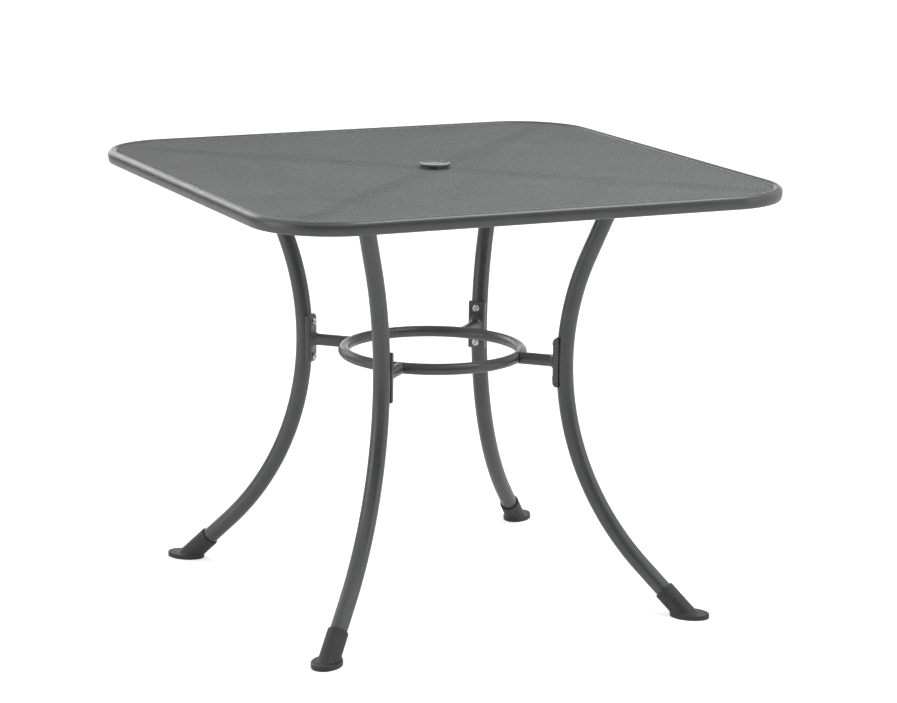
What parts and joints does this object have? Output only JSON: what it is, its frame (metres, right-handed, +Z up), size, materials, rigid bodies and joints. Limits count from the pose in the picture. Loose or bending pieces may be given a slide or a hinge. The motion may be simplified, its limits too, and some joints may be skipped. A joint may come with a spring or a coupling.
{
  "type": "square table",
  "caption": "Square mesh-top patio table with rounded corners, an umbrella hole with a lift-out cap, and bowed tube legs tied by a ring.",
  "frame": {"origin": "middle of the table on the floor", "axes": "+X along the front edge, +Y from front to back, +Z up"},
  "size_m": [0.9, 0.9, 0.7247],
  "materials": {
    "powder_coat": "satin anthracite powder coat on steel",
    "mesh": "satin anthracite powder coat on expanded steel mesh",
    "foot_plastic": "fine-grained black-grey plastic",
    "cap": "smooth grey plastic",
    "screws": "stainless steel, plain",
    "zinc": "bright zinc plated steel"
  },
  "bodies": {
    "table": {"rim": "powder_coat", "mesh_panel": "mesh", "pole_collar": "powder_coat", "ring": "powder_coat", "rail_front": "powder_coat", "rail_right": "powder_coat", "rail_back": "powder_coat", "rail_left": "powder_coat", "leg_front": "powder_coat", "leg_right": "powder_coat", "leg_back": "powder_coat", "leg_left": "powder_coat", "leg_plate_front": "powder_coat", "leg_plate_right": "powder_coat", "leg_plate_back": "powder_coat", "leg_plate_left": "powder_coat", "foot_front": "foot_plastic", "foot_right": "foot_plastic", "foot_back": "foot_plastic", "foot_left": "foot_plastic", "arm_front": "powder_coat", "arm_right": "powder_coat", "arm_back": "powder_coat", "arm_left": "powder_coat", "arm_screws": "screws", "arm_rivet_nuts": "zinc", "plate_bolts": "zinc", "plate_washers": "zinc", "rail_rivet_nuts": "zinc"},
    "cap": {"pole_cap": "cap"}
  },
  "joints": [
    {"name": "cap_lift", "type": "slide", "parent": "table", "child": "cap", "axis": [0, 0, 1], "range_m": [0, 0.06]}
  ]
}
